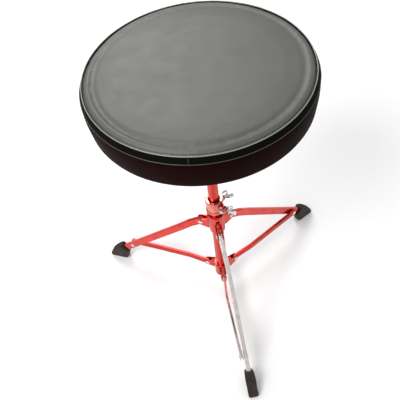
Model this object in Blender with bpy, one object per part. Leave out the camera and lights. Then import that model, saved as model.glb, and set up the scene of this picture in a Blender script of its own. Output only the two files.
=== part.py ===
"""Round drum throne on a folding three-leg base, one object per real piece.

The floor is z = 0. The post stands at x = 0, y = AXIS_Y, so the part is centred on its own box.
Sizes below are in millimetres; MM turns them into metres.
"""

import math

import bmesh
import bpy
from mathutils import Matrix, Vector

MM = 0.001

# Facets round each kind of round piece
SEAT_SEGS = 40
TUBE_SEGS = 28
RIVET_SEGS = 12
BOSS_SEGS = 16

# Seat
SEAT_R = 165.1
SEAT_RIM_Z = 566.0
SEAT_CROWN = 6.0
SEAT_BOTTOM_Z = 507.0
SEAM_Z = 555.0
SEAM_R = 168.6
COVER_T = 1.0
BOARD_R = 160.0
BOARD_Z0 = 510.0
BOARD_T = 12.0
PIPING_R = 1.5
DUST_HOLE_R = 64.0
GAP = 0.3

# Seat bracket
PLATE_HALF = 42.0
PLATE_CORNER = 10.0
PLATE_T = 3.0
SOCKET_R_OUT = 14.0
SOCKET_Z0 = 462.0
SEAT_BOLT_AZ = 200.0
SEAT_BOLT_Z = SOCKET_Z0 + 15.0
BOLT_HOLE_R = 3.1
SCREW_HALF_PITCH = 31.0
SCREW_SHANK_R = 2.1
SCREW_HEAD_R = 4.4
SCREW_HEAD_T = 2.6
SCREW_LEN = 13.0

# Post and base tube
POST_R = 9.525
POST_WALL = 1.6
POST_Z0 = 150.0
POST_Z1 = 505.5
TUBE_R = 11.1
TUBE_WALL = 1.2
TUBE_Z0 = 36.0
TUBE_Z1 = 262.0
BUSHING_Z1 = 275.0

# Height clamp
CLAMP_R_IN = 11.4
CLAMP_R_OUT = 15.2
CLAMP_Z0 = 248.0
CLAMP_Z1 = 278.0
CLAMP_SLOT = 3.0
CLAMP_AZ = -50.0
HEIGHT_BOLT_AZ = 25.0
HEIGHT_BOLT_Z = 265.0

# Folding base
LEG_AZ = (150.0, 30.0, 270.0)
LEG_NAMES = ("left", "right", "front")
PIVOT_R = 31.0
PIVOT_Z = 203.0
JOIN_R = 202.0
JOIN_Z = 54.0
BRACE_PIVOT_Z = 55.0
RIVET_R = 2.4
HOLE_R = 2.55
RIVET_HEAD_R = 4.3
RIVET_HEAD_T = 1.6

HUB_BORE_R = 11.3
HUB_R = 15.4
HUB_Z0 = 188.0
HUB_Z1 = 238.0
HUB_ARM_GAP = 8.8
HUB_ARM_T = 1.6
HUB_BOLT_AZ = 8.0
HUB_BOLT_Z = 226.0

COLLAR_R = 15.4
COLLAR_Z0 = 38.0
COLLAR_Z1 = 72.0
EAR_GAP = 7.0
EAR_T = 1.5
EAR_SHIFT = -3.0

LEG_W = 8.0
LEG_D = 14.5
LEG_T = 1.2
LEG_ROUND = 2.2
LEG_SHIFT = 2.0
LEG_TAIL = 41.0
KNEE_R = 56.0
KNEE_Z = 185.5
BRACE_W = 6.2
BRACE_D = 11.5
BRACE_T = 1.1
BRACE_ROUND = 1.6
BRACE_TAIL = 5.0
BRACE_SHIFT = -6.2

FOOT_TIP_R = 263.0
FOOT_HEEL_W = 15.0
FOOT_TOE_W = 21.0
FOOT_HEEL_START = 28.0
FOOT_HALF_H = 11.0
FOOT_TOP_LEN = 14.0
POCKET_START = 5.0
POCKET_GAP = 0.3

FRONT_REACH = FOOT_TIP_R
SEAT_REACH = SEAM_R + PIPING_R
AXIS_Y = (FRONT_REACH - SEAT_REACH) / 2.0
AXIS = Vector((0.0, AXIS_Y, 0.0))

VINYL = ((0.045, 0.048, 0.044), 0.45, 0.0)
PIPING = ((0.03, 0.032, 0.03), 0.35, 0.0)
FOAM = ((0.62, 0.58, 0.44), 0.95, 0.0)
PLYWOOD = ((0.50, 0.35, 0.20), 0.75, 0.0)
FELT = ((0.02, 0.02, 0.02), 0.95, 0.0)
RED_CHROME = ((0.62, 0.12, 0.10), 0.12, 1.0)
PINK_CHROME = ((0.78, 0.62, 0.60), 0.12, 1.0)
CHROME = ((0.82, 0.82, 0.82), 0.10, 1.0)
ZINC = ((0.55, 0.55, 0.54), 0.35, 1.0)
NYLON = ((0.05, 0.05, 0.05), 0.55, 0.0)
RUBBER = ((0.055, 0.035, 0.030), 0.80, 0.0)


def clear_scene():
    for obj in list(bpy.data.objects):
        bpy.data.objects.remove(obj, do_unlink=True)


def make_material(name, look):
    colour, roughness, metallic = look
    mat = bpy.data.materials.new(name)
    mat.use_nodes = True
    shader = mat.node_tree.nodes["Principled BSDF"]
    shader.inputs["Base Color"].default_value = (*colour, 1.0)
    shader.inputs["Roughness"].default_value = roughness
    shader.inputs["Metallic"].default_value = metallic
    mat.diffuse_color = (*colour, 1.0)
    return mat


def add_object(name, bm, look, pivot, smooth=True):
    """Turn a bmesh in world millimetres into an object whose origin is at pivot."""
    bmesh.ops.remove_doubles(bm, verts=bm.verts, dist=0.0005)
    bmesh.ops.recalc_face_normals(bm, faces=bm.faces)
    bmesh.ops.translate(bm, verts=bm.verts, vec=-Vector(pivot))
    bmesh.ops.scale(bm, verts=bm.verts, vec=(MM, MM, MM))
    mesh = bpy.data.meshes.new(name)
    bm.to_mesh(mesh)
    bm.free()
    obj = bpy.data.objects.new(name, mesh)
    obj.location = Vector(pivot) * MM
    bpy.context.scene.collection.objects.link(obj)
    if look is not None:
        obj.data.materials.append(make_material(name, look))
    if smooth:
        mesh.shade_smooth()
        mesh.set_sharp_from_angle(angle=math.radians(35.0))
    return obj


def add_cutter(name, bm, pivot=(0.0, 0.0, 0.0)):
    cutter = add_object(name, bm, None, pivot, smooth=False)
    cutter.hide_render = True
    cutter.display_type = 'WIRE'
    return cutter


def boolean(obj, cutter, operation='DIFFERENCE'):
    mod = obj.modifiers.new(cutter.name, 'BOOLEAN')
    mod.operation = operation
    mod.object = cutter
    mod.solver = 'EXACT'
    return mod


def add_rings(bm, profile, segments, matrix=Matrix.Identity(4)):
    """Revolve a closed (radius, height) profile about Z into the bmesh."""
    verts = []
    for radius, height in profile:
        verts.append(bm.verts.new((radius, 0.0, height)))
    edges = []
    for i, vert in enumerate(verts):
        after = verts[(i + 1) % len(verts)]
        if vert.co.x > 0.0 or after.co.x > 0.0:
            edges.append(bm.edges.new((vert, after)))
    bmesh.ops.spin(bm, geom=verts + edges, cent=(0, 0, 0), axis=(0, 0, 1),
                   angle=2.0 * math.pi, steps=segments, use_merge=True)
    bmesh.ops.remove_doubles(bm, verts=bm.verts, dist=0.0005)
    bmesh.ops.transform(bm, matrix=matrix, verts=bm.verts)


def lathe(profile, segments, matrix=Matrix.Identity(4)):
    bm = bmesh.new()
    add_rings(bm, profile, segments, matrix)
    return bm


def merge_bmesh(target, source):
    """Copy every face of source into target."""
    copied = {}
    for vert in source.verts:
        copied[vert] = target.verts.new(vert.co)
    for face in source.faces:
        target.faces.new([copied[v] for v in face.verts])
    source.free()


def post_frame(azimuth=0.0, z=0.0):
    """Frame at the post axis with local X pointing outward at the azimuth."""
    return Matrix.Translation(AXIS + Vector((0, 0, z))) @ Matrix.Rotation(math.radians(azimuth), 4, 'Z')


def radial_axis(azimuth, z):
    """Frame whose local Z points outward from the post at the azimuth and height."""
    return post_frame(azimuth, z) @ Matrix.Rotation(math.radians(90.0), 4, 'Y')


def side_axis(azimuth, radius, z):
    """Frame whose local Z points to the left of the outward direction."""
    place = post_frame(azimuth, z) @ Matrix.Translation(Vector((radius, 0, 0)))
    return place @ Matrix.Rotation(math.radians(-90.0), 4, 'X')


def rivet_hole(azimuth, radius, z):
    """Cutter for a rivet's cross hole, long enough for every plate it goes through."""
    return lathe(rod_profile(HOLE_R, -14.0, 14.0), RIVET_SEGS, side_axis(azimuth, radius, z))


def extrude_outline(outline, y0, y1, matrix):
    """Solid from an (x, z) outline between two lateral positions."""
    bm = bmesh.new()
    ring = [bm.verts.new((x, y0, z)) for x, z in outline]
    face = bm.faces.new(ring)
    moved = bmesh.ops.extrude_face_region(bm, geom=[face])
    new_verts = [g for g in moved["geom"] if isinstance(g, bmesh.types.BMVert)]
    bmesh.ops.translate(bm, verts=new_verts, vec=(0, y1 - y0, 0))
    bmesh.ops.transform(bm, matrix=matrix, verts=bm.verts)
    return bm


def box(size, centre, matrix=Matrix.Identity(4)):
    bm = bmesh.new()
    bmesh.ops.create_cube(bm, size=1.0)
    bmesh.ops.scale(bm, vec=size, verts=bm.verts)
    bmesh.ops.translate(bm, vec=centre, verts=bm.verts)
    bmesh.ops.transform(bm, matrix=matrix, verts=bm.verts)
    return bm


def rod_profile(radius, z0, z1, chamfer=0.0):
    if chamfer <= 0.0:
        return [(0, z0), (radius, z0), (radius, z1), (0, z1)]
    return [(0, z0), (radius - chamfer, z0), (radius, z0 + chamfer),
            (radius, z1 - chamfer), (radius - chamfer, z1), (0, z1)]


def arc(cx, cz, radius, start, end, steps):
    points = []
    for i in range(steps + 1):
        angle = math.radians(start + (end - start) * i / steps)
        points.append((cx + radius * math.cos(angle), cz + radius * math.sin(angle)))
    return points


# ---------------------------------------------------------------- seat

def seat_outer_profile():
    """Outer line of the cushion from the centre top down to the band's lower edge."""
    return [(0.0, SEAT_RIM_Z + SEAT_CROWN), (90.0, SEAT_RIM_Z + SEAT_CROWN - 1.8),
            (145.0, SEAT_RIM_Z + 1.2), (158.0, SEAT_RIM_Z - 0.8), (SEAT_R - 1.6, SEAT_RIM_Z - 3.4)]


def build_seat():
    segments = SEAT_SEGS
    pivot = (0.0, AXIS_Y, SEAT_BOTTOM_Z)
    place = post_frame()
    top = seat_outer_profile()

    under = [(r if r == 0.0 else r - 0.2, z - COVER_T) for r, z in reversed(top)]
    add_object("seat_cover_top", lathe(top + under, segments, place), VINYL, pivot)

    roll_top = SEAT_RIM_Z - 7.0
    roll_low = SEAM_Z + 2.0
    roll_mid = (roll_top + roll_low) / 2.0
    roll = [(SEAT_R, roll_top), (SEAT_R + 2.0, roll_mid), (SEAM_R - 0.6, roll_low),
            (SEAM_R - 0.6 - COVER_T, roll_low), (SEAT_R + 2.0 - COVER_T, roll_mid),
            (SEAT_R - COVER_T, roll_top)]
    add_object("seat_cover_roll", lathe(roll, segments, place), VINYL, pivot)

    for name, radius, z in (("seat_piping_top", SEAT_R - 0.4, SEAT_RIM_Z - 5.3),
                            ("seat_piping_low", SEAM_R - 0.2, SEAM_Z)):
        bead = arc(radius, z, PIPING_R - 0.1, 0.0, 300.0, 5)
        add_object(name, lathe(bead, segments, place), PIPING, pivot)

    band_top = SEAM_Z - 2.0
    band = [(SEAM_R - 0.4, band_top), (SEAT_R + 0.6, SEAT_BOTTOM_Z + 6.0), (SEAT_R - 4.5, SEAT_BOTTOM_Z + 0.6),
            (SEAT_R - 22.0, SEAT_BOTTOM_Z + 0.6), (SEAT_R - 22.0, SEAT_BOTTOM_Z + 0.6 + COVER_T),
            (SEAT_R - 5.0, SEAT_BOTTOM_Z + 0.6 + COVER_T), (SEAT_R - 0.4, SEAT_BOTTOM_Z + 6.6),
            (SEAM_R - 1.4, band_top)]
    add_object("seat_cover_band", lathe(band, segments, place), VINYL, pivot)

    foam_bottom = BOARD_Z0 + BOARD_T + GAP
    inner = COVER_T + GAP + 0.3
    foam = [(0.0, foam_bottom), (SEAT_R - 2.6, foam_bottom), (SEAM_R - 4.0, foam_bottom + 12.0),
            (SEAM_R - 4.0, SEAM_Z - 4.0), (SEAT_R - 4.5, SEAT_RIM_Z - 7.0)]
    for r, z in reversed(top[:-1]):
        foam.append((r, z - inner))
    add_object("seat_foam", lathe(foam, SEAT_SEGS, place), FOAM, pivot)

    board = lathe(rod_profile(BOARD_R, BOARD_Z0, BOARD_Z0 + BOARD_T, 0.8), segments, place)
    board_obj = add_object("seat_board", board, PLYWOOD, pivot)
    boolean(board_obj, screw_hole_cutter("cut_board_holes", BOARD_Z0 - 1.0, BOARD_Z0 + 11.0))

    dust = [(DUST_HOLE_R, SEAT_BOTTOM_Z - 0.5), (SEAT_R - 12.0, SEAT_BOTTOM_Z - 0.5),
            (SEAT_R - 12.0, SEAT_BOTTOM_Z + 0.3), (DUST_HOLE_R, SEAT_BOTTOM_Z + 0.3)]
    add_object("dust_cover", lathe(dust, segments, place), FELT, pivot)


def screw_positions():
    places = []
    for sx in (-1, 1):
        for sy in (-1, 1):
            places.append((sx * SCREW_HALF_PITCH, sy * SCREW_HALF_PITCH))
    return places


def screw_hole_cutter(name, z0, z1):
    bm = bmesh.new()
    for x, y in screw_positions():
        place = Matrix.Translation(AXIS + Vector((x, y, 0.0)))
        merge_bmesh(bm, lathe(rod_profile(SCREW_SHANK_R + 0.15, z0, z1), RIVET_SEGS, place))
    return add_cutter(name, bm)


def build_bracket():
    pivot = (0.0, AXIS_Y, SEAT_BOTTOM_Z)
    place = post_frame()
    plate_top = BOARD_Z0 - GAP
    plate_low = plate_top - PLATE_T
    outline = []
    inner = PLATE_HALF - PLATE_CORNER
    for sx, sy, start in ((1, 1, 0), (-1, 1, 90), (-1, -1, 180), (1, -1, 270)):
        outline += arc(sx * inner, sy * inner, PLATE_CORNER, start, start + 90, 5)
    bm = bmesh.new()
    face = bm.faces.new([bm.verts.new((x, y, plate_low)) for x, y in outline])
    moved = bmesh.ops.extrude_face_region(bm, geom=[face])
    new_verts = [g for g in moved["geom"] if isinstance(g, bmesh.types.BMVert)]
    bmesh.ops.translate(bm, verts=new_verts, vec=(0, 0, PLATE_T))
    bmesh.ops.transform(bm, matrix=place, verts=bm.verts)
    plate = add_object("seat_bracket", bm, CHROME, pivot)

    weld = 3.0
    socket = [(0, SOCKET_Z0), (SOCKET_R_OUT - 0.8, SOCKET_Z0), (SOCKET_R_OUT, SOCKET_Z0 + 0.8),
              (SOCKET_R_OUT, plate_low - weld), (SOCKET_R_OUT + weld, plate_low + 0.5),
              (SOCKET_R_OUT + weld, plate_low + 1.0), (0, plate_low + 1.0)]
    boolean(plate, add_cutter("add_socket", lathe(socket, TUBE_SEGS, place)), 'UNION')
    boss = lathe(rod_profile(7.0, 9.0, SOCKET_R_OUT + 5.0, 0.6), BOSS_SEGS, radial_axis(SEAT_BOLT_AZ, SEAT_BOLT_Z))
    boolean(plate, add_cutter("add_boss", boss), 'UNION')
    bore = lathe(rod_profile(POST_R + 0.15, SOCKET_Z0 - 5.0, POST_Z1 + 0.5), TUBE_SEGS, place)
    boolean(plate, add_cutter("cut_socket_bore", bore))
    tapped = lathe(rod_profile(BOLT_HOLE_R, 5.0, SOCKET_R_OUT + 12.0), BOSS_SEGS,
                   radial_axis(SEAT_BOLT_AZ, SEAT_BOLT_Z))
    boolean(plate, add_cutter("cut_boss_hole", tapped))
    boolean(plate, screw_hole_cutter("cut_plate_holes", plate_low - 4.0, plate_top + 4.0))

    for i, (x, y) in enumerate(screw_positions()):
        head_z = plate_low - GAP
        profile = [(0, head_z - SCREW_HEAD_T)]
        profile += [(SCREW_HEAD_R * 0.7, head_z - SCREW_HEAD_T * 0.85), (SCREW_HEAD_R, head_z - 0.8),
                    (SCREW_HEAD_R, head_z), (SCREW_SHANK_R, head_z),
                    (SCREW_SHANK_R, head_z + SCREW_LEN - 2.0), (0, head_z + SCREW_LEN)]
        centre = AXIS + Vector((x, y, 0.0))
        bm = lathe(profile, RIVET_SEGS, Matrix.Translation(centre))
        screw = add_object("bracket_screw_%d" % (i + 1), bm, ZINC, (x, AXIS_Y + y, head_z))
        slot_centre = (x, AXIS_Y + y, head_z - SCREW_HEAD_T)
        slot = box((5.0, 1.0, 1.6), slot_centre)
        merge_slot = add_cutter("cut_screw_slot_%d" % (i + 1), slot)
        boolean(screw, merge_slot)


def wing_bolt(name, azimuth, z, tip, shoulder, roll, pivot, span=31.0, look=CHROME):
    """Bolt with two wings; its axis points outward, roll turns the wings about it."""
    place = radial_axis(azimuth, z)
    hub = [(0, tip), (2.2, tip), (2.8, tip + 0.8), (2.8, shoulder - 1.0), (5.0, shoulder),
           (5.4, shoulder + 6.0), (4.2, shoulder + 9.0), (0, shoulder + 9.6)]
    bm = lathe(hub, BOSS_SEGS, place)
    obj = add_object(name, bm, look, pivot)
    half = span / 2.0
    base = shoulder + 1.0
    lobe = [(2.0, base), (half * 0.45, base + 1.2), (half * 0.8, base + 4.2)]
    lobe += arc(half - 4.6, base + 9.4, 4.6, -50.0, 150.0, 7)
    lobe += [(half * 0.42, base + 8.4), (2.0, base + 6.4)]
    outline = lobe + [(-x, h) for x, h in reversed(lobe)]
    turn = place @ Matrix.Rotation(math.radians(roll), 4, 'Z')
    wings = extrude_outline(outline, -1.7, 1.7, turn)
    boolean(obj, add_cutter("add_wings_" + name, wings), 'UNION')
    return obj


# ---------------------------------------------------------------- post and tube

def tube_profile(radius, wall, z0, z1, chamfer=0.5):
    return [(radius - wall, z0), (radius - chamfer, z0), (radius, z0 + chamfer),
            (radius, z1 - chamfer), (radius - chamfer, z1), (radius - wall, z1)]


def build_post():
    place = post_frame()
    pivot = (0.0, AXIS_Y, TUBE_Z1)
    add_object("seat_post", lathe(tube_profile(POST_R, POST_WALL, POST_Z0, POST_Z1), TUBE_SEGS, place),
               RED_CHROME, pivot)
    add_object("base_tube", lathe(tube_profile(TUBE_R, TUBE_WALL, TUBE_Z0, TUBE_Z1, 0.4), TUBE_SEGS, place),
               RED_CHROME, (0.0, AXIS_Y, 0.0))
    bushing = [(POST_R + 0.1, TUBE_Z1 + GAP), (TUBE_R, TUBE_Z1 + GAP), (TUBE_R, BUSHING_Z1),
               (POST_R + 0.1, BUSHING_Z1)]
    add_object("tube_bushing", lathe(bushing, TUBE_SEGS, place), NYLON, pivot)

    plug = [(0, TUBE_Z0 - 3.5), (TUBE_R - 1.0, TUBE_Z0 - 3.5), (TUBE_R, TUBE_Z0 - 2.5),
            (TUBE_R, TUBE_Z0 - GAP), (TUBE_R - TUBE_WALL - 0.15, TUBE_Z0 - GAP),
            (TUBE_R - TUBE_WALL - 0.15, TUBE_Z0 + 12.0), (0, TUBE_Z0 + 12.0)]
    add_object("tube_end_plug", lathe(plug, TUBE_SEGS, place), NYLON, (0.0, AXIS_Y, TUBE_Z0))


def build_height_clamp():
    place = post_frame()
    pivot = (0.0, AXIS_Y, CLAMP_Z0)
    lip = 1.3
    ring = [(CLAMP_R_IN, CLAMP_Z0), (CLAMP_R_OUT + lip, CLAMP_Z0), (CLAMP_R_OUT + lip, CLAMP_Z0 + 4.0),
            (CLAMP_R_OUT, CLAMP_Z0 + 5.5), (CLAMP_R_OUT, CLAMP_Z1 - 6.5),
            (CLAMP_R_OUT + lip, CLAMP_Z1 - 5.0), (CLAMP_R_OUT + lip, CLAMP_Z1 - 1.0),
            (CLAMP_R_OUT + lip - 1.0, CLAMP_Z1), (CLAMP_R_IN, CLAMP_Z1)]
    clamp = add_object("height_clamp", lathe(ring, TUBE_SEGS, place), CHROME, pivot)

    frame = post_frame(CLAMP_AZ)
    ears = bmesh.new()
    ear = [(CLAMP_R_IN + 1.5, CLAMP_Z0 + 6.0), (21.0, CLAMP_Z0 + 6.0)]
    ear += arc(21.0, CLAMP_Z0 + 13.0, 7.0, -90.0, 90.0, 8)[1:]
    ear += [(CLAMP_R_IN + 1.5, CLAMP_Z0 + 20.0)]
    merge_bmesh(ears, extrude_outline(ear, -5.2, 5.2, frame))
    boolean(clamp, add_cutter("add_clamp_ears", ears), 'UNION')
    boss = lathe(rod_profile(6.2, CLAMP_R_IN + 1.0, CLAMP_R_OUT + 3.8, 0.5), BOSS_SEGS,
                 radial_axis(HEIGHT_BOLT_AZ, HEIGHT_BOLT_Z))
    boolean(clamp, add_cutter("add_clamp_boss", boss), 'UNION')
    slot = box((30.0, CLAMP_SLOT, 60.0), (22.0, 0.0, CLAMP_Z0 + 10.0), frame)
    boolean(clamp, add_cutter("cut_clamp_slot", slot))
    bolt_hole = lathe(rod_profile(HOLE_R, -12.0, 12.0), RIVET_SEGS, side_axis(CLAMP_AZ, 21.0, CLAMP_Z0 + 13.0))
    boolean(clamp, add_cutter("cut_clamp_bolt", bolt_hole))
    boss_hole = lathe(rod_profile(BOLT_HOLE_R, 5.0, 40.0), BOSS_SEGS, radial_axis(HEIGHT_BOLT_AZ, HEIGHT_BOLT_Z))
    boolean(clamp, add_cutter("cut_clamp_boss", boss_hole))

    side = side_axis(CLAMP_AZ, 21.0, CLAMP_Z0 + 13.0)
    ear_face = 5.2 + 0.2
    screw = [(0, -ear_face - 3.6), (3.2, -ear_face - 3.4), (4.2, -ear_face - 2.4), (4.2, -ear_face),
             (RIVET_R, -ear_face), (RIVET_R, ear_face + 5.0), (0, ear_face + 5.0)]
    centre = side @ Vector((0, 0, 0))
    add_object("clamp_screw", lathe(screw, RIVET_SEGS, side), CHROME, centre)
    nut_bore = RIVET_R / math.cos(math.radians(30.0)) + 0.15
    nut = lathe([(nut_bore, ear_face), (4.6, ear_face), (4.6, ear_face + 3.4), (nut_bore, ear_face + 3.4)],
                6, side)
    add_object("clamp_nut", nut, CHROME, centre)

    bolt_pivot = radial_axis(HEIGHT_BOLT_AZ, HEIGHT_BOLT_Z) @ Vector((0, 0, CLAMP_R_OUT))
    wing_bolt("height_wing_bolt", HEIGHT_BOLT_AZ, HEIGHT_BOLT_Z, TUBE_R + 0.3, CLAMP_R_OUT + 5.2, 65.0,
              bolt_pivot)


# ---------------------------------------------------------------- hub and collar

def arm_plate(outline, gap, thick, azimuth, shift=0.0):
    """Two parallel plates of one outline on either side of the plane at the lateral shift."""
    bm = bmesh.new()
    for side in (-1, 1):
        inner = shift + side * gap / 2.0
        outer = shift + side * (gap / 2.0 + thick)
        merge_bmesh(bm, extrude_outline(outline, min(inner, outer), max(inner, outer), post_frame(azimuth)))
    return bm


def build_hub():
    pivot = (0.0, AXIS_Y, PIVOT_Z)
    place = post_frame()
    sleeve = [(0, HUB_Z0), (HUB_R - 1.4, HUB_Z0), (HUB_R - 0.6, HUB_Z0 + 1.0), (HUB_R, HUB_Z1 - 6.0),
              (HUB_R + 1.2, HUB_Z1 - 5.0), (HUB_R + 1.2, HUB_Z1 - 1.0), (HUB_R + 0.4, HUB_Z1),
              (0, HUB_Z1)]
    hub = add_object("leg_hub", lathe(sleeve, TUBE_SEGS, place), RED_CHROME, pivot)
    inner_r = 12.6
    arm_low = HUB_Z0 + 3.0
    outline = [(inner_r, arm_low), (HUB_R + 3.0, arm_low)]
    outline += arc(PIVOT_R + 1.0, PIVOT_Z - 0.5, 8.2, -100.0, 60.0, 9)
    outline += [(PIVOT_R - 4.0, PIVOT_Z + 9.5), (HUB_R + 4.0, PIVOT_Z + 11.0), (inner_r, PIVOT_Z + 13.0)]
    for azimuth, side in zip(LEG_AZ, LEG_NAMES):
        plates = arm_plate(outline, HUB_ARM_GAP, HUB_ARM_T, azimuth)
        boolean(hub, add_cutter("add_arm_" + side, plates), 'UNION')
        web_half = HUB_ARM_GAP / 2.0 + 0.5
        web_outline = [(inner_r + 0.4, arm_low + 0.4), (HUB_R + 2.2, arm_low + 0.4),
                       (HUB_R + 3.0, arm_low + 4.0), (HUB_R + 3.0, arm_low + 10.0),
                       (inner_r + 0.4, arm_low + 14.0)]
        web = extrude_outline(web_outline, -web_half, web_half, post_frame(azimuth))
        boolean(hub, add_cutter("add_web_" + side, web), 'UNION')
    boss = lathe(rod_profile(6.0, 12.6, HUB_R + 5.0, 0.5), BOSS_SEGS, radial_axis(HUB_BOLT_AZ, HUB_BOLT_Z))
    boolean(hub, add_cutter("add_hub_boss", boss), 'UNION')
    boss_hole = lathe(rod_profile(BOLT_HOLE_R, 5.0, 40.0), 14, radial_axis(HUB_BOLT_AZ, HUB_BOLT_Z))
    boolean(hub, add_cutter("cut_hub_boss", boss_hole))
    holes = bmesh.new()
    for azimuth in LEG_AZ:
        merge_bmesh(holes, rivet_hole(azimuth, PIVOT_R, PIVOT_Z))
    boolean(hub, add_cutter("cut_hub_holes", holes))
    bore = lathe(rod_profile(HUB_BORE_R, HUB_Z0 - 5.0, HUB_Z1 + 5.0), TUBE_SEGS, place)
    boolean(hub, add_cutter("cut_hub_bore", bore))
    wing_bolt("hub_wing_bolt", HUB_BOLT_AZ, HUB_BOLT_Z, TUBE_R + 0.3, HUB_R + 6.4, 80.0,
              radial_axis(HUB_BOLT_AZ, HUB_BOLT_Z) @ Vector((0, 0, HUB_R)), span=26.0)


def build_collar():
    pivot = (0.0, AXIS_Y, BRACE_PIVOT_Z)
    place = post_frame()
    sleeve = [(0, COLLAR_Z0), (COLLAR_R - 1.0, COLLAR_Z0), (COLLAR_R, COLLAR_Z0 + 1.0),
              (COLLAR_R, COLLAR_Z1 - 1.0), (COLLAR_R - 1.0, COLLAR_Z1), (0, COLLAR_Z1)]
    collar = add_object("lower_collar", lathe(sleeve, TUBE_SEGS, place), PINK_CHROME, pivot)
    inner_r = 12.6
    outline = [(inner_r, BRACE_PIVOT_Z - 11.0), (PIVOT_R - 9.0, BRACE_PIVOT_Z - 9.0)]
    outline += arc(PIVOT_R, BRACE_PIVOT_Z, 7.2, -75.0, 75.0, 8)
    outline += [(PIVOT_R - 9.0, BRACE_PIVOT_Z + 10.0), (inner_r, BRACE_PIVOT_Z + 13.0)]
    for azimuth, side in zip(LEG_AZ, LEG_NAMES):
        ears = arm_plate(outline, EAR_GAP, EAR_T, azimuth, EAR_SHIFT)
        boolean(collar, add_cutter("add_ears_" + side, ears), 'UNION')
    holes = bmesh.new()
    for azimuth in LEG_AZ:
        merge_bmesh(holes, rivet_hole(azimuth, PIVOT_R, BRACE_PIVOT_Z))
    boolean(collar, add_cutter("cut_collar_holes", holes))
    bore = lathe(rod_profile(TUBE_R + 0.3, COLLAR_Z0 - 5.0, COLLAR_Z1 + 5.0), TUBE_SEGS, place)
    boolean(collar, add_cutter("cut_collar_bore", bore))


# ---------------------------------------------------------------- legs and braces

def channel_section(width, wall, top, bottom, round_r):
    """Outer and inner points of a U section, open at the bottom, as (lateral, normal)."""
    half = width / 2.0
    steps = 2
    pairs = [((-half, bottom), (-half + wall, bottom))]
    for cx, start in ((-half + round_r, 180.0), (half - round_r, 90.0)):
        for i in range(steps + 1):
            angle = math.radians(start - 90.0 * i / steps)
            ca, sa = math.cos(angle), math.sin(angle)
            outer = (cx + round_r * ca, top - round_r + round_r * sa)
            inner_r = max(round_r - wall, 0.15)
            icx = cx if round_r > wall else math.copysign(half - wall - 0.15, cx)
            inner = (icx + inner_r * ca, top - wall - inner_r + inner_r * sa)
            pairs.append((outer, inner))
    pairs.append(((half, bottom), (half - wall, bottom)))
    return pairs


def channel(stations, width, wall, round_r, matrix):
    """Sweep a U section along (x, z, lateral, nx, nz, top, bottom) stations."""
    bm = bmesh.new()
    rows = []
    for x, z, lateral, nx, nz, top, bottom in stations:
        row = []
        for outer, inner in channel_section(width, wall, top, bottom, round_r):
            pair = []
            for across, up in (outer, inner):
                pair.append(bm.verts.new((x + nx * up, lateral + across, z + nz * up)))
            row.append(pair)
        rows.append(row)
    count = len(rows[0])
    for a, b in zip(rows, rows[1:]):
        for i in range(count - 1):
            bm.faces.new((a[i][0], a[i + 1][0], b[i + 1][0], b[i][0]))
            bm.faces.new((a[i][1], b[i][1], b[i + 1][1], a[i + 1][1]))
        for i in (0, count - 1):
            bm.faces.new((a[i][0], b[i][0], b[i][1], a[i][1]))
    for row in (rows[0], rows[-1]):
        for i in range(count - 1):
            bm.faces.new((row[i][0], row[i][1], row[i + 1][1], row[i + 1][0]))
    bmesh.ops.transform(bm, matrix=matrix, verts=bm.verts)
    return bm


def path_stations(points, depth, end_radius):
    """Stations along (x, z, lateral) points; the first point is a pivot with a rounded end behind it."""
    half = depth / 2.0
    stations = []
    first = Vector((points[1][0] - points[0][0], points[1][1] - points[0][1])).normalized()
    normal = (-first.y, first.x)
    for back, share in ((0.97, 0.30), (0.80, 0.60), (0.50, 0.866)):
        x = points[0][0] - first.x * end_radius * back
        z = points[0][1] - first.y * end_radius * back
        stations.append((x, z, points[0][2], normal[0], normal[1], half * share, -half * share))
    for i, (x, z, lateral) in enumerate(points):
        before = Vector(points[max(i - 1, 0)][:2])
        after = Vector(points[min(i + 1, len(points) - 1)][:2])
        along = (after - before).normalized()
        stations.append((x, z, lateral, -along.y, along.x, half, -half))
    return stations


def leg_slope():
    """Direction of the straight line from the leg's pivot to its join, in (radius, height)."""
    return Vector((JOIN_R - PIVOT_R, JOIN_Z - PIVOT_Z)).normalized()


def leg_points():
    join = Vector((JOIN_R, JOIN_Z))
    knee = Vector((KNEE_R, KNEE_Z))
    end = join + leg_slope() * LEG_TAIL
    jog = knee.lerp(join, 0.16)
    return [(PIVOT_R, PIVOT_Z, 0.0), (PIVOT_R + 9.0, PIVOT_Z - 6.2, 0.0), (knee.x, knee.y, LEG_SHIFT * 0.4),
            (jog.x, jog.y, LEG_SHIFT), (join.x, join.y, LEG_SHIFT), (end.x, end.y, LEG_SHIFT)]


def brace_points():
    z = BRACE_PIVOT_Z
    return [(PIVOT_R, z, EAR_SHIFT), (PIVOT_R + 12.0, z, EAR_SHIFT), (PIVOT_R + 44.0, z, BRACE_SHIFT),
            (JOIN_R - 36.0, z - 0.8, BRACE_SHIFT), (JOIN_R, JOIN_Z, BRACE_SHIFT),
            (JOIN_R + BRACE_TAIL, JOIN_Z, BRACE_SHIFT)]


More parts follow.
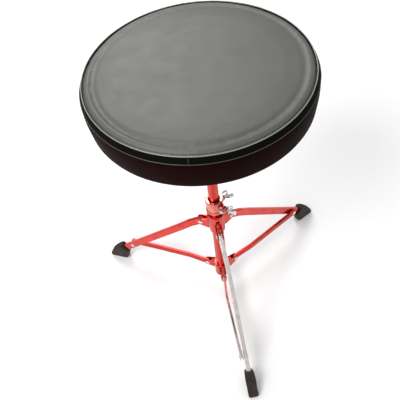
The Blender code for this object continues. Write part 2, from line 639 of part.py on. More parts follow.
def rivet(name, frame, z0, z1, heads, look, pivot):
    """Shank from z0 to z1 along the frame's Z, with a domed head outside each named end."""
    profile = []
    if "low" in heads:
        profile += [(0, z0 - RIVET_HEAD_T), (RIVET_HEAD_R * 0.62, z0 - RIVET_HEAD_T * 0.8),
                    (RIVET_HEAD_R, z0 - 0.4), (RIVET_HEAD_R, z0), (RIVET_R, z0)]
    else:
        profile += [(0, z0), (RIVET_R, z0)]
    if "high" in heads:
        profile += [(RIVET_R, z1), (RIVET_HEAD_R, z1), (RIVET_HEAD_R, z1 + 0.4),
                    (RIVET_HEAD_R * 0.62, z1 + RIVET_HEAD_T * 0.8), (0, z1 + RIVET_HEAD_T)]
    else:
        profile += [(RIVET_R, z1), (0, z1)]
    return add_object(name, lathe(profile, RIVET_SEGS, frame), look, pivot)


def foot_outline():
    """Side outline of the rubber foot, in (radius, height)."""
    slope = leg_slope()
    normal = Vector((-slope.y, slope.x))
    heel = Vector((JOIN_R, JOIN_Z)) + slope * FOOT_HEEL_START
    chamfer = 1.4
    top_heel = heel + normal * FOOT_HALF_H
    low_heel = heel - normal * FOOT_HALF_H
    points = [(low_heel.x + 7.0, 3.0), (low_heel.x + 10.0, 0.0), (FOOT_TIP_R - 5.0, 0.0),
              (FOOT_TIP_R - 1.5, 1.2), (FOOT_TIP_R, 4.5), (FOOT_TIP_R - 2.0, 10.0), (FOOT_TIP_R - 9.0, 19.0)]
    points += [tuple(top_heel + slope * FOOT_TOP_LEN), tuple(top_heel + slope * chamfer)]
    points += [tuple(top_heel - normal * chamfer), tuple(low_heel + normal * chamfer)]
    points.append((low_heel.x, low_heel.y - chamfer))
    return points


def build_foot(side, azimuth, pivot):
    outline = foot_outline()
    low = min(x for x, z in outline)
    high = max(x for x, z in outline)
    bm = extrude_outline(outline, -0.5, 0.5, Matrix.Identity(4))
    for vert in bm.verts:
        along = (vert.co.x - low) / (high - low)
        width = FOOT_HEEL_W + (FOOT_TOE_W - FOOT_HEEL_W) * min(along / 0.8, 1.0)
        if vert.co.x > high - 4.0:
            width -= 3.0
        vert.co.y = vert.co.y * width + LEG_SHIFT
    rim = [e for e in bm.edges if abs(e.verts[0].co.y - e.verts[1].co.y) < 7.0]
    bmesh.ops.bevel(bm, geom=rim, offset=1.6, segments=2, affect='EDGES', clamp_overlap=True)
    bmesh.ops.transform(bm, matrix=post_frame(azimuth), verts=bm.verts)
    foot = add_object("foot_" + side, bm, RUBBER, pivot)

    slope = leg_slope()
    angle = math.atan2(slope.y, slope.x)
    start = Vector((JOIN_R, JOIN_Z)) + slope * POCKET_START
    length = LEG_TAIL + 1.0 - POCKET_START
    place = post_frame(azimuth, start.y) @ Matrix.Translation((start.x, LEG_SHIFT, 0.0))
    place = place @ Matrix.Rotation(-angle, 4, 'Y')
    grow = 2.0 * POCKET_GAP
    pocket = box((length, LEG_W + grow, LEG_D + grow), (length / 2.0, 0.0, 0.0), place)
    boolean(foot, add_cutter("cut_foot_" + side, pocket))
    return foot


def build_legs():
    leg_stations = path_stations(leg_points(), LEG_D, LEG_D / 2.0)
    brace_stations = path_stations(brace_points(), BRACE_D, BRACE_D / 2.0)
    for side, azimuth in zip(LEG_NAMES, LEG_AZ):
        frame = post_frame(azimuth)
        leg_pivot = frame @ Vector((PIVOT_R, 0.0, PIVOT_Z))
        brace_pivot = frame @ Vector((PIVOT_R, 0.0, BRACE_PIVOT_Z))
        join = frame @ Vector((JOIN_R, 0.0, JOIN_Z))

        leg = add_object("leg_" + side, channel(leg_stations, LEG_W, LEG_T, LEG_ROUND, frame), PINK_CHROME,
                         leg_pivot)
        holes = rivet_hole(azimuth, PIVOT_R, PIVOT_Z)
        merge_bmesh(holes, rivet_hole(azimuth, JOIN_R, JOIN_Z))
        boolean(leg, add_cutter("cut_leg_" + side, holes))
        build_foot(side, azimuth, leg_pivot)

        plate_out = HUB_ARM_GAP / 2.0 + HUB_ARM_T + 0.15
        rivet("leg_pivot_rivet_" + side, side_axis(azimuth, PIVOT_R, PIVOT_Z), -plate_out, plate_out,
              ("low", "high"), CHROME, leg_pivot)
        rivet("leg_join_rivet_" + side, side_axis(azimuth, JOIN_R, JOIN_Z),
              LEG_SHIFT - LEG_W / 2.0 - 0.2, LEG_SHIFT + LEG_W / 2.0 + 0.15, ("high",), CHROME, join)

        brace = add_object("brace_" + side, channel(brace_stations, BRACE_W, BRACE_T, BRACE_ROUND, frame),
                           PINK_CHROME, brace_pivot)
        holes = rivet_hole(azimuth, PIVOT_R, BRACE_PIVOT_Z)
        merge_bmesh(holes, rivet_hole(azimuth, JOIN_R, JOIN_Z))
        boolean(brace, add_cutter("cut_brace_" + side, holes))
        ear_out = EAR_GAP / 2.0 + EAR_T + 0.15
        rivet("brace_pivot_rivet_" + side, side_axis(azimuth, PIVOT_R, BRACE_PIVOT_Z), EAR_SHIFT - ear_out,
              EAR_SHIFT + ear_out, ("low", "high"), CHROME, brace_pivot)
        rivet("brace_join_rivet_" + side, side_axis(azimuth, JOIN_R, JOIN_Z),
              BRACE_SHIFT - BRACE_W / 2.0 - 0.15, BRACE_SHIFT + BRACE_W / 2.0 + 0.1, ("low",),
              CHROME, join)


def build():
    clear_scene()
    build_seat()
    build_bracket()
    wing_bolt("seat_wing_bolt", SEAT_BOLT_AZ, SEAT_BOLT_Z, POST_R + 0.3, SOCKET_R_OUT + 6.4, 20.0,
              radial_axis(SEAT_BOLT_AZ, SEAT_BOLT_Z) @ Vector((0, 0, SOCKET_R_OUT)))
    build_post()
    build_height_clamp()
    build_hub()
    build_collar()
    build_legs()


build()
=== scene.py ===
import math

import bmesh
import bpy
from mathutils import Matrix, Vector
from mathutils.bvhtree import BVHTree


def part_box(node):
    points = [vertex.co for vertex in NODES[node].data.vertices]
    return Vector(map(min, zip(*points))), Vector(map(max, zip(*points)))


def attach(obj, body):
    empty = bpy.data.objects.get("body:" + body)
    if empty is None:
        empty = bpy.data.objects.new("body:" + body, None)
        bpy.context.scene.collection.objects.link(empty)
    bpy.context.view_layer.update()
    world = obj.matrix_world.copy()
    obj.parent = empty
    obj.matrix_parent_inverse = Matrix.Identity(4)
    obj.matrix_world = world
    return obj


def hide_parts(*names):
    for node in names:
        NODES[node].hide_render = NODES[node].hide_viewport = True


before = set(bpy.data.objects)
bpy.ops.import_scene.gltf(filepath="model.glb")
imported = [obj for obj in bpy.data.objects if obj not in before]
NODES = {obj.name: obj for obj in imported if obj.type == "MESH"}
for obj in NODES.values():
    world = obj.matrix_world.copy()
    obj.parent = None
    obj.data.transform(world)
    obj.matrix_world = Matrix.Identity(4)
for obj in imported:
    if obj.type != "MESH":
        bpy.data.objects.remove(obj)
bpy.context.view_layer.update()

MM = 0.001
AXIS_Y = sum(c.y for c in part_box("base_tube")) / 2.0 / MM
AXIS = Vector((0.0, AXIS_Y, 0.0))
LEG_AZ = {"left": 150.0, "right": 30.0, "front": 270.0}

PAD_R = 165.1
RIM_Z = 566.0
SEAM_R = 168.6
SEAM_Z = 555.0
BOTTOM_Z = 507.0
BAND_JOIN_AZ = 255.6
VALLEY_R = 146.5
ROLL_R = 154.5
STITCH_R = 159.8
STITCH_COUNT = 250

PIVOT_R = 31.0
PIVOT_Z = 203.0
JOIN_R = 202.0
JOIN_Z = 54.0
LEG_SHIFT = 2.0
FOOT_TIP_R = 263.0
FOOT_HEEL_START = 28.0
FOOT_HALF_H = 11.0
FOOT_TOP_LEN = 14.0


CROWN = 4.6
CROWN_DROP = 4.2
CROWN_R = 150.0
RING_STEPS = 220
SKIN_T = 1.1
JOIN_MARK_Z = 559.4

LENS = 52.45
CAMERA_ELEVATION = 51.29
CAMERA_TURN = 3.48
CAMERA_ROLL = -8.88
CAMERA_PLACE = (-63.7, -641.1, 1081.9)


# ---------------------------------------------------------------- mesh helpers

def finish_mesh(name, bm, material, body, smooth_angle=35.0, scale=MM):
    bmesh.ops.remove_doubles(bm, verts=bm.verts, dist=0.0005)
    bmesh.ops.recalc_face_normals(bm, faces=bm.faces)
    bmesh.ops.scale(bm, verts=bm.verts, vec=(scale, scale, scale))
    mesh = bpy.data.meshes.new(name)
    bm.to_mesh(mesh)
    bm.free()
    obj = bpy.data.objects.new(name, mesh)
    bpy.context.scene.collection.objects.link(obj)
    if material is not None:
        mesh.materials.append(material)
    mesh.shade_smooth()
    if smooth_angle < 180.0:
        mesh.set_sharp_from_angle(angle=math.radians(smooth_angle))
    if body is not None:
        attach(obj, body)
    return obj


def lathe(profile, segments, matrix=None):
    """Revolve a closed (radius, height) profile about Z."""
    bm = bmesh.new()
    verts = [bm.verts.new((r, 0.0, z)) for r, z in profile]
    edges = []
    for i, vert in enumerate(verts):
        after = verts[(i + 1) % len(verts)]
        if vert.co.x > 0.0 or after.co.x > 0.0:
            edges.append(bm.edges.new((vert, after)))
    bmesh.ops.spin(bm, geom=verts + edges, cent=(0, 0, 0), axis=(0, 0, 1),
                   angle=2.0 * math.pi, steps=segments, use_merge=True)
    bmesh.ops.remove_doubles(bm, verts=bm.verts, dist=0.0005)
    if matrix is not None:
        bmesh.ops.transform(bm, matrix=matrix, verts=bm.verts)
    return bm


def merge_bmesh(target, source):
    copied = {}
    for vert in source.verts:
        copied[vert] = target.verts.new(vert.co)
    for face in source.faces:
        target.faces.new([copied[v] for v in face.verts])
    source.free()


def post_frame(azimuth=0.0, z=0.0):
    return Matrix.Translation(AXIS + Vector((0, 0, z))) @ Matrix.Rotation(math.radians(azimuth), 4, 'Z')


def arc(cx, cz, radius, start, end, steps):
    points = []
    for i in range(steps + 1):
        angle = math.radians(start + (end - start) * i / steps)
        points.append((cx + radius * math.cos(angle), cz + radius * math.sin(angle)))
    return points


# ---------------------------------------------------------------- materials

class Tree:
    """Small helper round a Principled material's node tree."""

    def __init__(self, name, colour, roughness, metallic=0.0):
        self.mat = bpy.data.materials.new(name)
        self.mat.use_nodes = True
        self.nt = self.mat.node_tree
        self.bsdf = self.nt.nodes["Principled BSDF"]
        self.bsdf.inputs["Base Color"].default_value = (*colour, 1.0)
        self.bsdf.inputs["Roughness"].default_value = roughness
        self.bsdf.inputs["Metallic"].default_value = metallic
        self.coords = self.nt.nodes.new("ShaderNodeTexCoord")

    def node(self, kind, **values):
        node = self.nt.nodes.new(kind)
        for key, value in values.items():
            setattr(node, key, value)
        return node

    def link(self, a, b):
        self.nt.links.new(a, b)

    def math(self, operation, a, b=None, clamp=False):
        node = self.node("ShaderNodeMath", operation=operation, use_clamp=clamp)
        for socket, value in ((node.inputs[0], a), (node.inputs[1], b)):
            if value is None:
                continue
            if isinstance(value, (int, float)):
                socket.default_value = value
            else:
                self.link(value, socket)
        return node.outputs[0]

    def noise(self, scale, detail=3.0, stretch=(1, 1, 1), rough=0.5):
        mapping = self.node("ShaderNodeMapping")
        mapping.inputs["Scale"].default_value = stretch
        self.link(self.coords.outputs["Object"], mapping.inputs["Vector"])
        noise = self.node("ShaderNodeTexNoise")
        noise.inputs["Scale"].default_value = scale
        noise.inputs["Detail"].default_value = detail
        noise.inputs["Roughness"].default_value = rough
        self.link(mapping.outputs["Vector"], noise.inputs["Vector"])
        return noise.outputs["Fac"]

    def mix(self, factor, a, b, blend='MIX'):
        node = self.node("ShaderNodeMix", data_type='RGBA', blend_type=blend)
        for socket, value in ((node.inputs[0], factor), (node.inputs[6], a), (node.inputs[7], b)):
            if isinstance(value, (int, float)):
                socket.default_value = value
            elif isinstance(value, tuple):
                socket.default_value = (*value, 1.0)
            else:
                self.link(value, socket)
        return node.outputs[2]

    def map_range(self, value, a, b, c, d, smooth=False):
        node = self.node("ShaderNodeMapRange")
        if smooth:
            node.interpolation_type = 'SMOOTHSTEP'
        self.link(value, node.inputs["Value"])
        for key, number in (("From Min", a), ("From Max", b), ("To Min", c), ("To Max", d)):
            node.inputs[key].default_value = number
        return node.outputs["Result"]

    def colour(self, socket):
        self.link(socket, self.bsdf.inputs["Base Color"])

    def roughness(self, socket):
        self.link(socket, self.bsdf.inputs["Roughness"])

    def bump(self, height, strength, distance):
        node = self.node("ShaderNodeBump")
        node.inputs["Strength"].default_value = strength
        node.inputs["Distance"].default_value = distance
        self.link(height, node.inputs["Height"])
        self.link(node.outputs["Normal"], self.bsdf.inputs["Normal"])
        return node


def vinyl(name, dark, light, rough, grain=1.0, specular=0.5, sheen=0.0):
    t = Tree(name, light, rough)
    broad = t.noise(7.0, 2.0)
    t.colour(t.mix(t.map_range(broad, 0.3, 0.7, 0.0, 1.0), dark, light))
    fine = t.noise(1500.0, 2.0)
    cells = t.node("ShaderNodeTexVoronoi", feature='DISTANCE_TO_EDGE')
    cells.inputs["Scale"].default_value = 850.0
    t.link(t.coords.outputs["Object"], cells.inputs["Vector"])
    pebble = t.map_range(cells.outputs["Distance"], 0.0, 0.25, 0.0, 1.0)
    height = t.math('ADD', t.math('MULTIPLY', pebble, 0.7), t.math('MULTIPLY', fine, 0.6))
    t.bump(height, 0.28 * grain, 0.0003)
    t.roughness(t.map_range(t.noise(40.0, 4.0), 0.25, 0.75, rough - 0.05, rough + 0.06))
    t.bsdf.inputs["Specular IOR Level"].default_value = specular
    t.bsdf.inputs["Sheen Weight"].default_value = sheen
    t.bsdf.inputs["Sheen Roughness"].default_value = 0.4
    return t.mat


def brushed_noise(t, rough):
    """Fine handling marks in a polished surface."""
    smudge = t.noise(60.0, 4.0)
    scratches = t.noise(900.0, 2.0, (1.0, 1.0, 0.06))
    low = t.map_range(smudge, 0.35, 0.75, rough - 0.04, rough + 0.07)
    high = t.map_range(scratches, 0.4, 0.8, 0.0, 0.04)
    t.roughness(t.math('ADD', low, high))
    t.bump(scratches, 0.03, 0.0001)


def chrome(name, tint=(0.80, 0.80, 0.80), rough=0.10, depth=0.75, stretch=(1.0, 1.0, 1.0)):
    """Plated metal: one tint with fainter marks in it. A coloured tint is a painted reflection of coloured
    surroundings, and marks stretched into streaks are drawn marks and painted reflection streaks; the
    highlights come from the lights.
    """
    t = Tree(name, tint, rough, 1.0)
    tone = t.noise(70.0, 4.0, stretch)
    dark = tuple(c * depth for c in tint)
    # Darker random patches of the tint; stretched, they become streaks that are drawn marks and painted
    # reflection streaks.
    t.colour(t.mix(t.map_range(tone, 0.36, 0.64, 0.0, 1.0), dark, tint))
    brushed_noise(t, rough)
    return t.mat


def rubber(name, dark, light):
    t = Tree(name, dark, 0.8)
    t.colour(t.mix(t.map_range(t.noise(55.0, 4.0), 0.35, 0.7, 0.0, 1.0), dark, light))
    t.roughness(t.map_range(t.noise(120.0, 3.0), 0.3, 0.7, 0.62, 0.85))
    t.bump(t.noise(1100.0, 3.0), 0.25, 0.0003)
    return t.mat


def plywood(name):
    t = Tree(name, (0.5, 0.35, 0.2), 0.7)
    rings = t.node("ShaderNodeTexWave", wave_type='BANDS', bands_direction='X')
    rings.inputs["Scale"].default_value = 22.0
    rings.inputs["Distortion"].default_value = 6.0
    rings.inputs["Detail"].default_value = 3.0
    t.link(t.coords.outputs["Object"], rings.inputs["Vector"])
    t.colour(t.mix(rings.outputs["Fac"], (0.42, 0.28, 0.15), (0.60, 0.43, 0.26)))
    t.bump(rings.outputs["Fac"], 0.1, 0.0004)
    return t.mat


def felt(name, dark, light):
    t = Tree(name, dark, 0.95)
    fibres = t.noise(900.0, 4.0, (1.0, 0.35, 1.0))
    t.colour(t.mix(t.map_range(fibres, 0.35, 0.7, 0.0, 1.0), dark, light))
    t.bump(fibres, 0.5, 0.0005)
    t.bsdf.inputs["Sheen Weight"].default_value = 0.3
    return t.mat


def plain_plastic(name, colour, rough):
    t = Tree(name, colour, rough)
    t.colour(t.mix(t.noise(80.0, 3.0), tuple(c * 0.8 for c in colour), tuple(c * 1.25 for c in colour)))
    t.bump(t.noise(1400.0, 2.0), 0.12, 0.0002)
    return t.mat


# Dark vinyl on the top; its grey is partly a painted sheen from the lights above, and the side bands are the
# same near-black vinyl.
TOP_VINYL = vinyl("vinyl_top", (0.080, 0.083, 0.071), (0.094, 0.097, 0.085), 0.46, 1.0, 0.5)
# Near-black vinyl; its red tint is a painted reflection of a red surround.
SIDE_VINYL = vinyl("vinyl_side", (0.0050, 0.0014, 0.0009), (0.0120, 0.0012, 0.0009), 0.55, 1.2, 0.015)
ROLL_VINYL = vinyl("vinyl_upper_band", (0.0020, 0.0020, 0.0016), (0.0036, 0.0035, 0.0028), 0.60, 1.2, 0.03)
# The top piping's light grey and the low piping's dim grey are partly a painted highlight on dark vinyl
# beads; the low piping's colour also serves the band join.
PIPING_TOP_PAINTED_HIGHLIGHT = vinyl("vinyl_piping_top", (0.20, 0.205, 0.185), (0.26, 0.265, 0.24), 0.32, 0.3, 0.5)
PIPING_LOW_PAINTED_HIGHLIGHT = vinyl("vinyl_piping_low", (0.030, 0.028, 0.024), (0.055, 0.052, 0.046), 0.35, 0.3, 0.5)
THREAD = plain_plastic("thread", (0.018, 0.018, 0.015), 0.7)
# Streaks stretched along the tube: drawn marks and painted reflection streaks.
DRAWN_AND_REFLECTION_STREAKS = (1.0, 1.0, 0.05)
# The red and pink tints of the tube, hub, clamp, legs and braces are a painted reflection of a red surround
# on plain chrome; the front leg and front brace are paler copies of the same chrome, a painted lighter
# reflection.
TUBE = chrome("chrome_tube_painted_red_reflection", (0.74, 0.070, 0.056), 0.15, 0.60, DRAWN_AND_REFLECTION_STREAKS)
HUB = chrome("chrome_hub", (0.70, 0.070, 0.056), 0.14, 0.75)
CLAMP = chrome("chrome_clamp", (0.78, 0.24, 0.20), 0.13, 0.60)
LEG = chrome("chrome_leg", (0.72, 0.062, 0.050), 0.15, 0.80)
FRONT_LEG = chrome("chrome_leg_front", (0.95, 0.87, 0.85), 0.12, 0.85)
BRACE = chrome("chrome_brace", (0.58, 0.040, 0.032), 0.15, 0.75)
FRONT_BRACE = chrome("chrome_brace_front", (0.92, 0.85, 0.83), 0.12, 0.85)
SILVER = chrome("chrome_bright")
ZINC = chrome("zinc_plate", (0.50, 0.50, 0.49), 0.34)
RUBBER = rubber("rubber_feet", (0.018, 0.008, 0.006), (0.036, 0.019, 0.015))
# Rib tops: the foot rubber made greyer and a little lighter, partly a painted highlight on the lit tops.
RUBBER_RIBS_PAINTED_HIGHLIGHT = rubber("rubber_ribs_painted_highlight", (0.018, 0.015, 0.012), (0.042, 0.036, 0.030))
NYLON = plain_plastic("nylon_black", (0.03, 0.03, 0.03), 0.5)
PLY = plywood("birch_board")
FELT = felt("dust_felt", (0.010, 0.010, 0.010), (0.030, 0.030, 0.030))
FOAM = felt("foam_edge", (0.50, 0.46, 0.32), (0.62, 0.58, 0.44))


# ---------------------------------------------------------------- camera, floor and light

def build_stage():
    scene = bpy.context.scene
    scene.view_settings.view_transform = 'Standard'
    camera_data = bpy.data.cameras.new("camera")
    camera_data.sensor_width = 36.0
    camera_data.lens = LENS
    camera_data.clip_start = 0.05
    camera = bpy.data.objects.new("camera", camera_data)
    scene.collection.objects.link(camera)
    elevation, turn, roll = (math.radians(a) for a in (CAMERA_ELEVATION, CAMERA_TURN, CAMERA_ROLL))
    back = Vector((-math.cos(elevation) * math.sin(turn), -math.cos(elevation) * math.cos(turn),
                   math.sin(elevation)))
    right = Vector((math.cos(turn), -math.sin(turn), 0.0))
    up = back.cross(right)
    right_rolled = right * math.cos(roll) + up * math.sin(roll)
    up_rolled = up * math.cos(roll) - right * math.sin(roll)
    place = Matrix((right_rolled, up_rolled, back)).transposed().to_4x4()
    place.translation = (Vector(CAMERA_PLACE) + AXIS) * MM
    camera.matrix_world = place
    scene.camera = camera

    floor_material = Tree("floor_white", (0.90, 0.90, 0.895), 0.55)
    floor_material.colour(floor_material.mix(
        floor_material.noise(3.0, 2.0), (0.895, 0.895, 0.893), (0.905, 0.905, 0.903)))
    bm = bmesh.new()
    bmesh.ops.create_grid(bm, x_segments=1, y_segments=1, size=9000.0)
    bmesh.ops.translate(bm, verts=bm.verts, vec=(0, 0, -0.2))
    floor = finish_mesh("floor", bm, floor_material.mat, None)

    world = bpy.data.worlds.new("studio")
    world.use_nodes = True
    nodes, links = world.node_tree.nodes, world.node_tree.links
    background = nodes["Background"]
    background.inputs["Strength"].default_value = 0.74
    direction = nodes.new("ShaderNodeTexCoord")
    split = nodes.new("ShaderNodeSeparateXYZ")
    sky = nodes.new("ShaderNodeValToRGB")
    sky.color_ramp.elements[0].position = 0.05
    sky.color_ramp.elements[0].color = (0.62, 0.62, 0.62, 1.0)
    sky.color_ramp.elements[1].position = 0.75
    sky.color_ramp.elements[1].color = (1.0, 1.0, 1.0, 1.0)
    links.new(direction.outputs["Generated"], split.inputs[0])
    links.new(split.outputs["Z"], sky.inputs["Fac"])
    links.new(sky.outputs["Color"], background.inputs["Color"])
    scene.world = world

    def area(name, location, target, size, power):
        data = bpy.data.lights.new(name, 'AREA')
        data.shape = 'DISK'
        data.size = size
        data.energy = power
        obj = bpy.data.objects.new(name, data)
        obj.location = location
        obj.rotation_mode = 'QUATERNION'
        obj.rotation_quaternion = (Vector(target) - Vector(location)).to_track_quat('-Z', 'Y')
        scene.collection.objects.link(obj)

    area("key", (-1.5, -1.1, 2.6), (0.0, 0.1, 0.2), 1.3, 52.0)
    area("sheen", (-0.35, 2.3, 2.6), (0.0, 0.05, 0.5), 1.7, 44.0)


# ---------------------------------------------------------------- seat

def gauss(x, width):
    return math.exp(-(x / width) ** 2)


def crown_height(radius):
    """Height of the domed seat top at a radius."""
    return RIM_Z + CROWN - CROWN_DROP * (radius / CROWN_R) ** 3


def pad_profile():
    """Closed outline of the stuffed cushion, a little inside its cover panels."""
    points = [(float(r), crown_height(r)) for r in (0, 30, 60, 90, 115, 132, 146)]
    points += arc(PAD_R - 5.9, RIM_Z - 5.0, 5.9, 80.0, 0.0, 5)
    points += [(PAD_R - 0.9, RIM_Z - 14.0), (PAD_R - 0.6, 540.0), (PAD_R - 1.6, 518.0)]
    points += arc(PAD_R - 8.6, BOTTOM_Z + 9.0, 6.4, 0.0, -80.0, 4)
    points += [(120.0, BOTTOM_Z + 2.8), (60.0, BOTTOM_Z + 2.8), (0.0, BOTTOM_Z + 2.8)]
    return points


def inflate(obj, pressure, cap, frames=20):
    """Cloth under pressure, then the result is kept with each point's move capped."""
    before = [v.co.copy() for v in obj.data.vertices]
    mod = obj.modifiers.new("swell", 'CLOTH')
    cloth = mod.settings
    cloth.use_pressure = True
    cloth.uniform_pressure_force = pressure
    cloth.tension_stiffness = 22.0
    cloth.compression_stiffness = 22.0
    cloth.bending_stiffness = 1.2
    cloth.effector_weights.gravity = 0.0
    scene = bpy.context.scene
    for number in range(1, frames + 1):
        scene.frame_set(number)
    swollen = obj.evaluated_get(bpy.context.evaluated_depsgraph_get()).data
    after = [v.co.copy() for v in swollen.vertices]
    obj.modifiers.remove(mod)
    scene.frame_set(1)
    for vert, a, b in zip(obj.data.vertices, before, after):
        move = b - a
        if move.length > cap:
            move *= cap / move.length
        vert.co = a + move


def shape_rim(obj):
    """Press the sewn details into the swollen pad: the rim's valley, its roll and the stitch line."""
    for vert in obj.data.vertices:
        x, y, z = vert.co.x / MM, vert.co.y / MM - AXIS_Y, vert.co.z / MM
        r = math.hypot(x, y)
        if z < RIM_Z - 14.0 or r < 60.0:
            continue
        turn = math.atan2(y, x)
        pucker = 1.0 + 0.10 * math.sin(turn * 61.0) + 0.08 * math.sin(turn * 37.0 + 1.3)
        target = crown_height(r)
        front = 0.5 + 0.5 * math.cos(turn - math.radians(BAND_JOIN_AZ))
        dz = -(0.5 + 2.7 * front ** 3) * gauss(r - VALLEY_R, 3.8) * pucker
        dz += (0.2 + 2.0 * front ** 3) * gauss(r - ROLL_R, 2.8)
        dz -= 0.5 * gauss(r - STITCH_R - 0.6, 1.4)
        ease = min(max((r - 120.0) / 25.0, 0.0), 1.0)
        if r < 152.0:
            z = z + (target - z) * 0.75 * ease
        vert.co.z = (z + dz) * MM


def add_creases(obj):
    """Soft shallow creases in the cover, mostly near the left and front of the rim."""
    creases = ((196.0, 118.0, 34.0, 2.2, 0.35, 20.0), (206.0, 126.0, 30.0, 1.9, 0.28, -35.0),
               (188.0, 132.0, 26.0, 1.8, 0.26, 5.0), (236.0, 136.0, 30.0, 2.0, 0.28, 60.0),
               (262.0, 140.0, 40.0, 2.1, 0.30, 84.0), (285.0, 141.0, 34.0, 1.9, 0.26, 110.0),
               (305.0, 138.0, 30.0, 1.8, 0.24, 130.0), (100.0, 120.0, 40.0, 2.4, 0.22, 10.0))
    for azimuth, radius, length, width, depth, heading in creases:
        a = math.radians(azimuth)
        centre = Vector((radius * math.cos(a), radius * math.sin(a)))
        h = math.radians(azimuth + 90.0 + heading * 0.35)
        along = Vector((math.cos(h), math.sin(h)))
        across = Vector((-along.y, along.x))
        for vert in obj.data.vertices:
            z = vert.co.z / MM
            if z < RIM_Z - 4.0:
                continue
            offset = Vector((vert.co.x / MM, vert.co.y / MM - AXIS_Y)) - centre
            u, v = offset.dot(along), offset.dot(across)
            if abs(u) > length * 2 or abs(v) > width * 5:
                continue
            bend = v - 0.012 * u * u / width * 0.4
            fold = gauss(bend, width) - 0.6 * gauss(bend - width * 2.2, width)
            vert.co.z -= 0.45 * depth * gauss(u, length) * fold * MM


def build_pad():
    pad = finish_mesh("seat_pad", lathe(pad_profile(), 160, post_frame()), TOP_VINYL, None, 180.0)
    remesh = pad.modifiers.new("even_mesh", 'REMESH')
    remesh.mode = 'VOXEL'
    remesh.voxel_size = 0.0045
    mesh = bpy.data.meshes.new_from_object(pad.evaluated_get(bpy.context.evaluated_depsgraph_get()))
    pad.modifiers.clear()
    pad.data = mesh
    mesh.materials.clear()
    mesh.materials.append(TOP_VINYL)
    inflate(pad, 4.0, 0.0016)
    sub = pad.modifiers.new("smooth", 'SUBSURF')
    sub.levels = sub.render_levels = 1
    mesh = bpy.data.meshes.new_from_object(pad.evaluated_get(bpy.context.evaluated_depsgraph_get()))
    pad.modifiers.clear()
    pad.data = mesh
    shape_rim(pad)
    add_creases(pad)
    mesh.shade_smooth()
    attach(pad, "seat")
    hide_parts("seat_foam", "seat_cover_top")
    return pad


def ring_skin(name, outer, thickness, material, segments, pucker, node):
    """Sewn side panel: a closed skin that follows (radius, height) points, gently puckered at its seams."""
    bm = bmesh.new()
    rows = []
    count = len(outer)
    for step in range(segments):
        turn = 2.0 * math.pi * step / segments
        ripple = math.sin(turn * 83.0) + 0.7 * math.sin(turn * 51.0 + 0.8)
        ripple += 0.5 * math.sin(turn * 29.0 + 2.0)
        row = []
        for i, (r, z) in enumerate(outer):
            edge = 1.0 - abs(2.0 * i / (count - 1) - 1.0)
            swell = pucker * ripple * max(0.0, 1.0 - edge * 2.2)
            row.append((r + swell, z))
        closed = row + [(r - thickness, z) for r, z in reversed(row)]
        verts = []
        for r, z in closed:
            verts.append(bm.verts.new((AXIS.x + r * math.cos(turn), AXIS.y + r * math.sin(turn), z)))
        rows.append(verts)
    total = len(rows[0])
    for step in range(segments):
        a, b = rows[step], rows[(step + 1) % segments]
        for i in range(total):
            j = (i + 1) % total
            bm.faces.new((a[i], b[i], b[j], a[j]))
    obj = finish_mesh(name, bm, material, "seat", 60.0)
    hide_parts(node)
    return obj


def torus(radius, z, bead, segments, sides, wobble=0.0):
    bm = bmesh.new()
    rows = []
    for step in range(segments):
        turn = 2.0 * math.pi * step / segments
        shift = wobble * (math.sin(turn * 17.0) + 0.6 * math.sin(turn * 41.0 + 1.0))
        row = []
        for i in range(sides):
            angle = 2.0 * math.pi * i / sides
            r = radius + shift + bead * math.cos(angle)
            row.append(bm.verts.new((AXIS.x + r * math.cos(turn), AXIS.y + r * math.sin(turn),
                                     z + 0.5 * shift + bead * math.sin(angle))))
        rows.append(row)
    for step in range(segments):
        a, b = rows[step], rows[(step + 1) % segments]
        for i in range(sides):
            j = (i + 1) % sides
            bm.faces.new((a[i], b[i], b[j], a[j]))
    return bm


def build_upper_band():
    outline = [(PAD_R - 0.9, RIM_Z - 1.6), (PAD_R + 0.7, RIM_Z - 4.4), (PAD_R + 2.0, RIM_Z - 7.2),
               (PAD_R + 2.7, SEAM_Z + 2.4), (PAD_R + 2.8, SEAM_Z + 0.8), (PAD_R + 2.4, SEAM_Z)]
    ring_skin("seat_upper_band", outline, SKIN_T, ROLL_VINYL, RING_STEPS, 0.10, "seat_cover_roll")


def build_side_band():
    outline = [(SEAM_R - 1.2, SEAM_Z - 0.2), (SEAM_R - 0.4, SEAM_Z - 1.6), (SEAM_R - 0.1, SEAM_Z - 5.0),
               (SEAM_R + 0.1, SEAM_Z - 12.0), (SEAM_R - 0.3, SEAM_Z - 20.0), (SEAM_R - 1.3, SEAM_Z - 29.0),
               (SEAM_R - 2.9, BOTTOM_Z + 6.0), (SEAM_R - 4.6, BOTTOM_Z + 2.4), (SEAM_R - 7.4, BOTTOM_Z + 0.6),
               (SEAM_R - 12.0, BOTTOM_Z + 0.2), (SEAM_R - 24.0, BOTTOM_Z + 0.6)]
    ring_skin("seat_side_band", outline, SKIN_T, SIDE_VINYL, RING_STEPS, 0.10, "seat_cover_band")


def build_piping():
    top_bead = torus(PAD_R - 1.5, RIM_Z - 1.1, 0.75, RING_STEPS, 12, 0.06)
    top = finish_mesh("seat_top_piping", top_bead, PIPING_TOP_PAINTED_HIGHLIGHT, "seat", 180.0)
    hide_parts("seat_piping_top")
    low_bead = torus(SEAM_R - 0.5, SEAM_Z, 0.6, RING_STEPS, 10, 0.06)
    low = finish_mesh("seat_low_piping", low_bead, PIPING_LOW_PAINTED_HIGHLIGHT, "seat", 180.0)
    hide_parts("seat_piping_low")


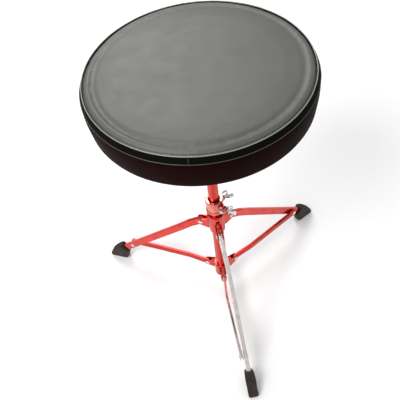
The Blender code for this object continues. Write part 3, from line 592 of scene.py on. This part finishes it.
def build_stitching(pad):
    """Thread beads laid on the pad's real surface, just inside the top piping."""
    corners = [v.co for v in pad.data.vertices]
    surface = BVHTree.FromPolygons(corners, [face.vertices[:] for face in pad.data.polygons])
    stitches = bmesh.new()
    for i in range(STITCH_COUNT):
        turn = 360.0 * i / STITCH_COUNT
        above = post_frame(turn, RIM_Z + 20.0) @ Vector((STITCH_R, 0.0, 0.0))
        spot = surface.ray_cast(above * MM, Vector((0.0, 0.0, -1.0)))[0]
        place = post_frame(turn, spot.z / MM + 0.1) @ Matrix.Translation(Vector((STITCH_R, 0.0, 0.0)))
        made = bmesh.ops.create_uvsphere(stitches, u_segments=6, v_segments=4, radius=1.0)["verts"]
        bmesh.ops.scale(stitches, vec=(0.75, 1.45, 0.5), verts=made)
        bmesh.ops.transform(stitches, matrix=place, verts=made)
    finish_mesh("seat_stitching", stitches, THREAD, "seat", 180.0)


def build_band_join():
    """The short upright seam where the upper band's ends meet."""
    bm = bmesh.new()
    bmesh.ops.create_cube(bm, size=1.0)
    bmesh.ops.scale(bm, vec=(1.0, 0.9, 8.6), verts=bm.verts)
    bmesh.ops.bevel(bm, geom=bm.edges[:], offset=0.3, segments=2, affect='EDGES')
    place = post_frame(BAND_JOIN_AZ) @ Matrix.Translation(Vector((PAD_R + 1.7, 0, JOIN_MARK_Z)))
    lean = Matrix.Rotation(math.radians(-14.0), 4, 'Y')
    bmesh.ops.transform(bm, matrix=place @ lean, verts=bm.verts)
    # The join takes the low piping's colour, partly a painted highlight.
    finish_mesh("seat_band_join", bm, PIPING_LOW_PAINTED_HIGHLIGHT, "seat", 60.0)


def build_seat():
    pad = build_pad()
    build_upper_band()
    build_side_band()
    build_piping()
    build_stitching(pad)
    build_band_join()


# ---------------------------------------------------------------- carried-over CAD nodes

def dress_nodes():
    looks = {"seat_board": PLY, "dust_cover": FELT, "seat_foam": FOAM, "seat_bracket": SILVER,
             "seat_post": TUBE, "base_tube": TUBE, "tube_bushing": NYLON, "tube_end_plug": NYLON,
             "leg_hub": HUB, "height_clamp": CLAMP, "lower_collar": HUB,
             "leg_front": FRONT_LEG, "brace_front": FRONT_BRACE}
    for name, obj in NODES.items():
        material = looks.get(name)
        if material is None:
            if name.startswith("leg_") and "rivet" not in name:
                material = LEG
            elif name.startswith("brace_") and "rivet" not in name:
                material = BRACE
            elif name.startswith("foot_"):
                material = RUBBER
            elif name.startswith("bracket_screw"):
                material = ZINC
            elif name.startswith("seat_"):
                material = TOP_VINYL
            else:
                material = SILVER
        if not obj.material_slots:
            obj.data.materials.append(material)
        for slot in obj.material_slots:
            slot.material = material
        obj.data.shade_smooth()
        obj.data.set_sharp_from_angle(angle=math.radians(32.0))


def rounded_bar(size, bevel):
    bm = bmesh.new()
    bmesh.ops.create_cube(bm, size=1.0)
    bmesh.ops.scale(bm, vec=size, verts=bm.verts)
    bmesh.ops.bevel(bm, geom=bm.edges[:], offset=bevel, segments=2, affect='EDGES')
    return bm


def build_foot_ribs():
    """Grip ribs moulded across the top of each rubber foot."""
    slope = Vector((JOIN_R - PIVOT_R, JOIN_Z - PIVOT_Z)).normalized()
    normal = Vector((-slope.y, slope.x))
    top_heel = Vector((JOIN_R, JOIN_Z)) + slope * FOOT_HEEL_START + normal * FOOT_HALF_H
    path = [top_heel + slope * 3.4, top_heel + slope * FOOT_TOP_LEN, Vector((FOOT_TIP_R - 9.0, 19.0)),
            Vector((FOOT_TIP_R - 2.0, 10.0))]
    lengths = [(b - a).length for a, b in zip(path, path[1:])]
    pitch = 3.1
    for side, azimuth in LEG_AZ.items():
        ribs = bmesh.new()
        distance = 0.0
        while distance < sum(lengths) - 1.5:
            left, index = distance, 0
            while left > lengths[index]:
                left -= lengths[index]
                index += 1
            a, b = path[index], path[index + 1]
            along = (b - a).normalized()
            spot = a + along * left
            width = 9.6 + 5.0 * distance / sum(lengths)
            place = post_frame(azimuth, spot.y) @ Matrix.Translation(Vector((spot.x, LEG_SHIFT, 0.0)))
            place = place @ Matrix.Rotation(-math.atan2(along.y, along.x), 4, 'Y')
            bar = rounded_bar((1.3, width, 1.1), 0.35)
            bmesh.ops.transform(bar, matrix=place, verts=bar.verts)
            merge_bmesh(ribs, bar)
            distance += pitch
        # The ribs' rubber is partly a painted highlight.
        finish_mesh("foot_ribs_" + side, ribs, RUBBER_RIBS_PAINTED_HIGHLIGHT, side + "_leg", 60.0)


build_stage()
dress_nodes()
build_seat()
build_foot_ribs()
